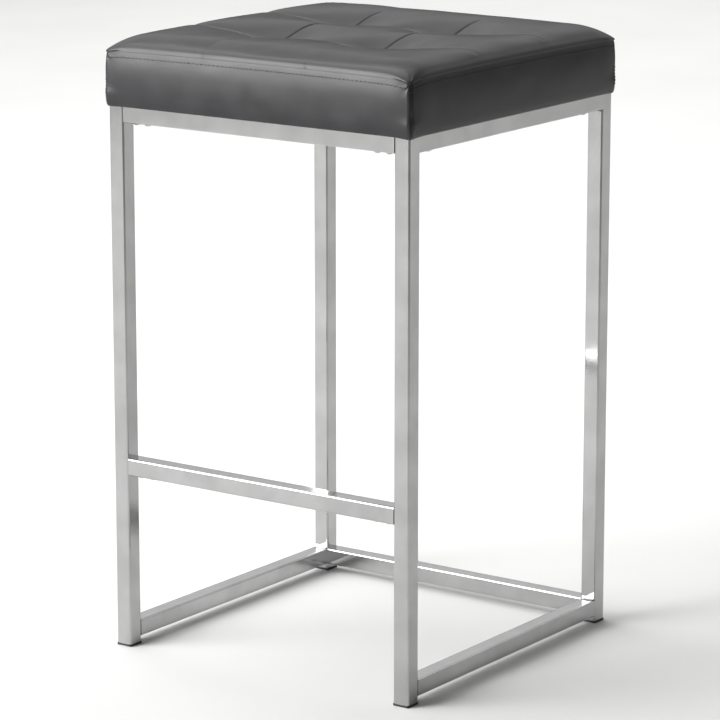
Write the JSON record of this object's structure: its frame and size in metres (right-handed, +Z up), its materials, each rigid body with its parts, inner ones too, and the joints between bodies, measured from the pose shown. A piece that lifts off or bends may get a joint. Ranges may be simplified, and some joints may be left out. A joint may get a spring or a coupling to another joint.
{
  "type": "counter stool",
  "caption": "Backless counter stool with a square biscuit-tufted padded seat on an open frame of square chrome tube with a front footrest.",
  "frame": {"origin": "on the floor, at the middle of the stool's footprint", "axes": "+Z up, -Y towards the front, where the footrest is, and +X to the right as seen from the front"},
  "size_m": [0.3998, 0.3998, 0.6786],
  "materials": {
    "chrome_tube": "polished chrome plate",
    "chrome_screws": "chrome plate",
    "mild_steel": "plain mill steel",
    "zinc_steel": "zinc plate",
    "black_plastic": "moulded, fine matt",
    "plywood": "unfinished birch plywood",
    "foam": "open-cell polyurethane foam",
    "twine": "waxed twine",
    "grey_leatherette": "dark grey leatherette, fine grain, low sheen",
    "dust_cloth": "spunbonded cloth"
  },
  "bodies": {
    "root": {"front_left_leg": "chrome_tube", "front_right_leg": "chrome_tube", "rear_left_leg": "chrome_tube", "rear_right_leg": "chrome_tube", "left_top_rail": "chrome_tube", "right_top_rail": "chrome_tube", "left_base_rail": "chrome_tube", "right_base_rail": "chrome_tube", "left_frame_welds": "chrome_tube", "right_frame_welds": "chrome_tube", "front_top_rail": "chrome_tube", "rear_top_rail": "chrome_tube", "footrest_bar": "chrome_tube", "rear_base_rail": "chrome_tube", "front_top_tongues": "mild_steel", "rear_top_tongues": "mild_steel", "footrest_tongues": "mild_steel", "rear_base_tongues": "mild_steel", "front_top_rail_screws": "chrome_screws", "rear_top_rail_screws": "chrome_screws", "footrest_screws": "chrome_screws", "rear_base_rail_screws": "chrome_screws", "seat_screws": "chrome_screws", "front_left_glide": "black_plastic", "front_right_glide": "black_plastic", "rear_left_glide": "black_plastic", "rear_right_glide": "black_plastic", "tee_nuts": "zinc_steel", "seat_board": "plywood", "seat_foam": "foam", "tuft_ties": "twine", "cover_top_panel": "grey_leatherette", "cover_front_panel": "grey_leatherette", "cover_rear_panel": "grey_leatherette", "cover_left_panel": "grey_leatherette", "cover_right_panel": "grey_leatherette", "dust_cover": "dust_cloth"}
  },
  "joints": []
}
